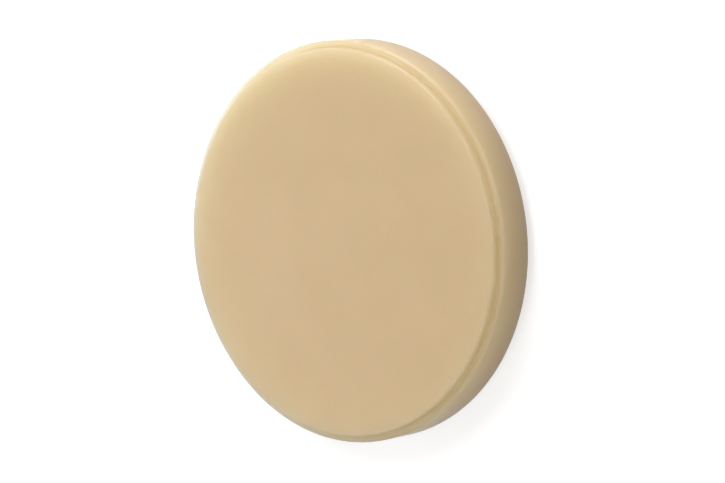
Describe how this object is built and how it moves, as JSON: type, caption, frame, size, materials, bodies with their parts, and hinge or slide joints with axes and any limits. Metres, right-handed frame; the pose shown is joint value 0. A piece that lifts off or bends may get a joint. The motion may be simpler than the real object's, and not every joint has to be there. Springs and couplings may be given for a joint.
{
  "type": "dental milling disc",
  "caption": "Round blank of tooth-coloured resin for milling crowns and bridges, with a clamping collar around its edge and a slightly smaller raised face on each side.",
  "frame": {"origin": "centre of the back face, on the surface that the disc lies on", "axes": "+Z along the disc's axis, from the back face to the front face; the disc is round, so +X and +Y are any two directions across it"},
  "size_m": [0.0984, 0.0984, 0.014],
  "materials": {
    "tooth_shade_resin": "satin"
  },
  "bodies": {
    "root": {"milling_disc": "tooth_shade_resin"}
  },
  "joints": []
}
